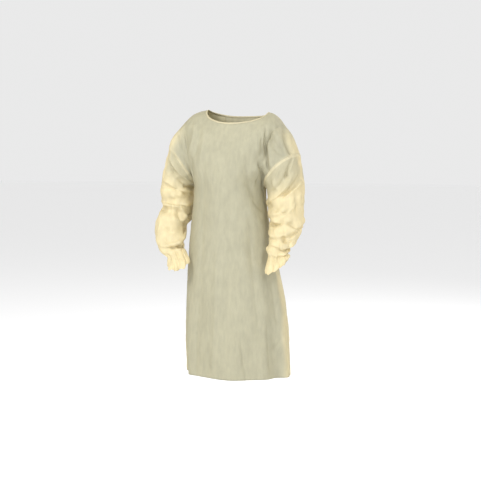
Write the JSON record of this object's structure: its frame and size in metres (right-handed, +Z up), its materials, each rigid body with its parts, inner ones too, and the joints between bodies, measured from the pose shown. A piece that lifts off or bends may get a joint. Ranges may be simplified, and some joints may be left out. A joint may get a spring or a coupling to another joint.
{
  "type": "isolation gown",
  "caption": "Worn non-woven isolation gown: wide neck, dropped shoulders, full long sleeves gathered into ruffled cuffs, flared calf-length skirt, overlapping tied back.",
  "frame": {"origin": "midway between the shoulders, at the height where the gown hangs from them", "axes": "+Z up, -Y out of the front panel, +X towards the wearer's left"},
  "size_m": [0.6794, 0.3769, 1.152],
  "materials": {
    "body_cloth": "matte spunbond non-woven",
    "sleeve_cloth": "matte spunbond non-woven",
    "edge_cloth": "matte spunbond non-woven, doubled"
  },
  "bodies": {
    "root": {"front": "body_cloth", "back_left": "body_cloth", "back_right": "body_cloth", "sleeve_left": "sleeve_cloth", "sleeve_right": "sleeve_cloth", "cuff_left": "sleeve_cloth", "cuff_right": "sleeve_cloth", "neck_binding": "edge_cloth", "waist_tie_left": "edge_cloth", "waist_tie_right": "edge_cloth", "waist_knot": "edge_cloth"}
  },
  "joints": []
}
